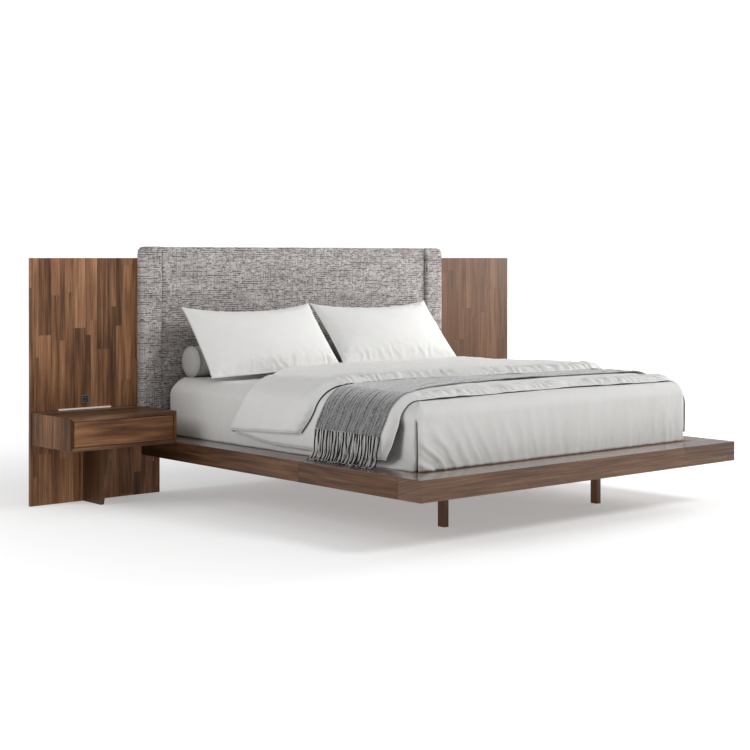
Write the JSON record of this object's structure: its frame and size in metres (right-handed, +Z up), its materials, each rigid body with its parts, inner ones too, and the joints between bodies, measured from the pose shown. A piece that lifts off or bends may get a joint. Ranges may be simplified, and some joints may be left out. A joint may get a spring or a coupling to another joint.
{
  "type": "platform bed with storage drawers",
  "caption": "Walnut platform bed with a wide floating ledge, an upholstered headboard between tall wood panels, floating nightstands with drawers, and its bedding.",
  "frame": {"origin": "on the floor, in the middle of the bounding box: half-way across the wood panels and half-way from the foot rail to the panels' backs", "axes": "+X across the bed, to the right as seen from the foot; +Y from the foot to the head; +Z up"},
  "size_m": [3.52, 2.316, 1.351],
  "materials": {
    "walnut_panel": "satin",
    "walnut_case": "satin",
    "walnut_rail": "satin",
    "walnut_leg": "satin",
    "beam_wood": "matte",
    "drawer_wood": "satin",
    "headboard_tweed": "matte",
    "backing_cloth": "matte",
    "sheet_linen": "matte",
    "duvet_cotton": "matte",
    "pillow_cotton": "matte",
    "bolster_linen": "matte",
    "throw_wool": "matte",
    "zinc_steel": "satin",
    "light_diffuser": "satin",
    "outlet_metal": "satin"
  },
  "bodies": {
    "bed": {"bolster": "bolster_linen", "centre_beam": "beam_wood", "centre_leg_head": "walnut_leg", "centre_leg_middle": "walnut_leg", "cross_beam_front": "beam_wood", "cross_beam_middle": "beam_wood", "deck_foot": "walnut_rail", "deck_head": "walnut_rail", "deck_middle": "walnut_rail", "duvet": "duvet_cotton", "foot_rail": "walnut_rail", "front_leg_left": "walnut_leg", "front_leg_right": "walnut_leg", "head_rail": "walnut_rail", "headboard_back_board": "backing_cloth", "headboard_bracket_left": "zinc_steel", "headboard_bracket_right": "zinc_steel", "headboard_centre_pad": "headboard_tweed", "headboard_wing_left": "headboard_tweed", "headboard_wing_right": "headboard_tweed", "light_bar_left": "light_diffuser", "light_bar_right": "light_diffuser", "mattress": "sheet_linen", "pillow_left": "pillow_cotton", "pillow_right": "pillow_cotton", "power_outlet_left": "outlet_metal", "power_outlet_right": "outlet_metal", "side_panel_left": "walnut_panel", "side_panel_right": "walnut_panel", "side_rail_left": "walnut_rail", "side_rail_right": "walnut_rail", "slide_rail_inner_left": "zinc_steel", "slide_rail_inner_right": "zinc_steel", "slide_rail_outer_left": "zinc_steel", "slide_rail_outer_right": "zinc_steel", "stand_bottom_left": "walnut_case", "stand_bottom_right": "walnut_case", "stand_inner_side_left": "walnut_case", "stand_inner_side_right": "walnut_case", "stand_outer_side_left": "walnut_case", "stand_outer_side_right": "walnut_case", "stand_top_left": "walnut_case", "stand_top_right": "walnut_case", "support_fin_left": "walnut_case", "support_fin_right": "walnut_case", "throw": "throw_wool"},
    "drawer_left": {"drawer_back_left": "drawer_wood", "drawer_bottom_left": "drawer_wood", "drawer_front_left": "walnut_case", "drawer_inner_side_left": "drawer_wood", "drawer_outer_side_left": "drawer_wood", "slide_runner_inner_left": "zinc_steel", "slide_runner_outer_left": "zinc_steel"},
    "drawer_right": {"drawer_back_right": "drawer_wood", "drawer_bottom_right": "drawer_wood", "drawer_front_right": "walnut_case", "drawer_inner_side_right": "drawer_wood", "drawer_outer_side_right": "drawer_wood", "slide_runner_inner_right": "zinc_steel", "slide_runner_outer_right": "zinc_steel"}
  },
  "joints": [
    {"name": "drawer_slide_left", "type": "slide", "parent": "bed", "child": "drawer_left", "axis": [0, -1, 0], "range_m": [0, 0.28]},
    {"name": "drawer_slide_right", "type": "slide", "parent": "bed", "child": "drawer_right", "axis": [0, -1, 0], "range_m": [0, 0.28]}
  ]
}
